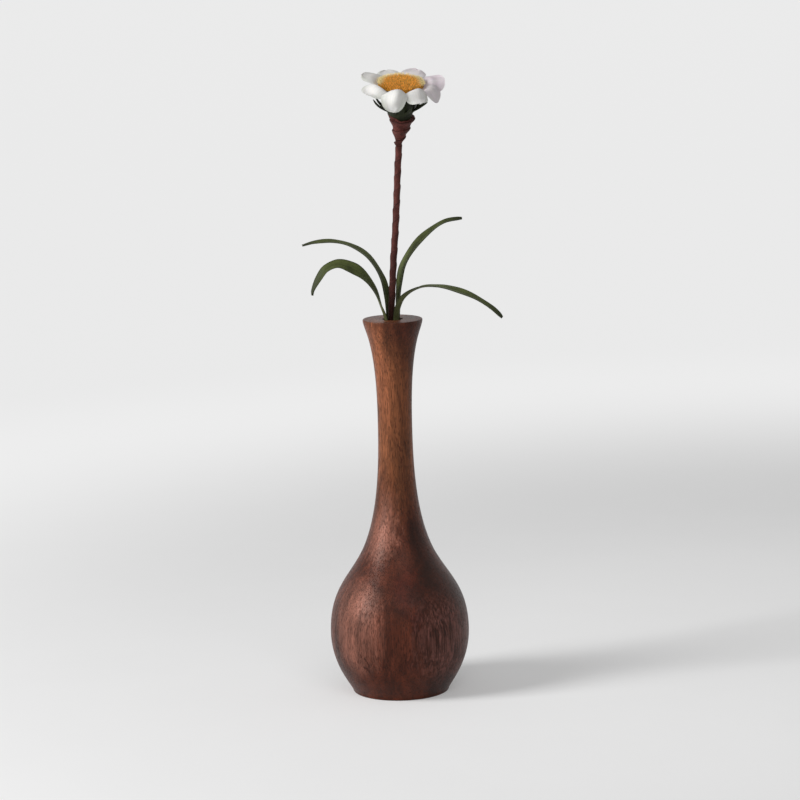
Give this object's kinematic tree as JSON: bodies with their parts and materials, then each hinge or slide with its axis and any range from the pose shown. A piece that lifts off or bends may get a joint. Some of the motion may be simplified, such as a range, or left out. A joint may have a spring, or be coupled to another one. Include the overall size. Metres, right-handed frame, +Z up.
{
  "type": "wooden bud vase with flower",
  "caption": "Turned walnut bud vase with a round belly, a long narrow neck and a straight bore, holding one daisy-like artificial flower with four narrow leaves.",
  "frame": {"origin": "centre of the foot's flat underside", "axes": "+Z up along the vase's turning axis, -Y towards the viewer, +X to the viewer's right"},
  "size_m": [0.0784, 0.0552, 0.2476],
  "materials": {
    "walnut": "oiled walnut, satin, vertical grain with dark streaks",
    "wire": "bare florist's wire",
    "stem_tape": "brown-red crepe paper tape, matt, wound in a spiral",
    "leaf": "olive green soft moulded plastic, satin, with fine veins along the leaf and darker edges",
    "calyx": "dark green soft moulded plastic, matt",
    "petal": "white soft moulded petals, matt, finely veined, faintly lilac towards some edges",
    "flower_disc": "golden orange flock with paler tips"
  },
  "bodies": {
    "vase": {"vase_body": "walnut"},
    "flower_spray": {"stem_wire": "wire", "stem_tape": "stem_tape", "leaf_binding": "stem_tape", "leaf_upper_left": "leaf", "leaf_lower_left": "leaf", "leaf_upper_right": "leaf", "leaf_lower_right": "leaf", "bud_tape": "stem_tape", "calyx_cup": "calyx", "sepal_1": "calyx", "sepal_2": "calyx", "sepal_3": "calyx", "sepal_4": "calyx", "sepal_5": "calyx", "sepal_6": "calyx", "sepal_7": "calyx", "sepal_8": "calyx", "sepal_9": "calyx", "petal_1": "petal", "petal_2": "petal", "petal_3": "petal", "petal_4": "petal", "petal_5": "petal", "petal_6": "petal", "petal_7": "petal", "petal_8": "petal", "flower_disc": "flower_disc"}
  },
  "joints": [
    {"name": "flower_lift", "type": "slide", "parent": "vase", "child": "flower_spray", "axis": [0, 0, 1], "range_m": [0, 0.115]}
  ]
}
